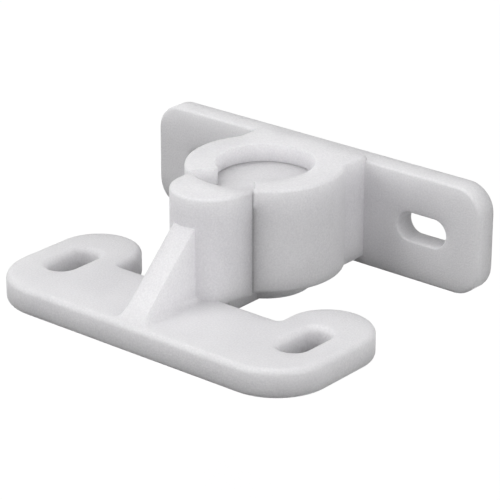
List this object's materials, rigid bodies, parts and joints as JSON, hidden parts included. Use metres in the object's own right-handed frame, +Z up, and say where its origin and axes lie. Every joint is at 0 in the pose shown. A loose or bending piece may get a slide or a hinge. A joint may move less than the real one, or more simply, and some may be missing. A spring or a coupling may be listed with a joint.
{
  "type": "knuckle catch",
  "caption": "White plastic catch: a screw-on plate with an open round clip, and a screw-down U-shaped strike whose round knuckle slides up or down in the clip.",
  "frame": {"origin": "middle of the screw plate's back face", "axes": "+X along the plate's long side, +Y out of the plate's back into what it is screwed to, +Z up along the clip's axis; the strike is in front, at -Y"},
  "size_m": [0.0508, 0.0375, 0.0166],
  "materials": {
    "catch_plastic": "satin white moulded plastic with a fine grain",
    "strike_plastic": "satin white moulded plastic with a fine grain"
  },
  "bodies": {
    "catch": {"catch_plate": "catch_plastic"},
    "strike": {"knuckle_strike": "strike_plastic"}
  },
  "joints": [
    {"name": "strike_slide", "type": "slide", "parent": "catch", "child": "strike", "axis": [0, 0, 1], "range_m": [-0.011, 0.0157]}
  ]
}
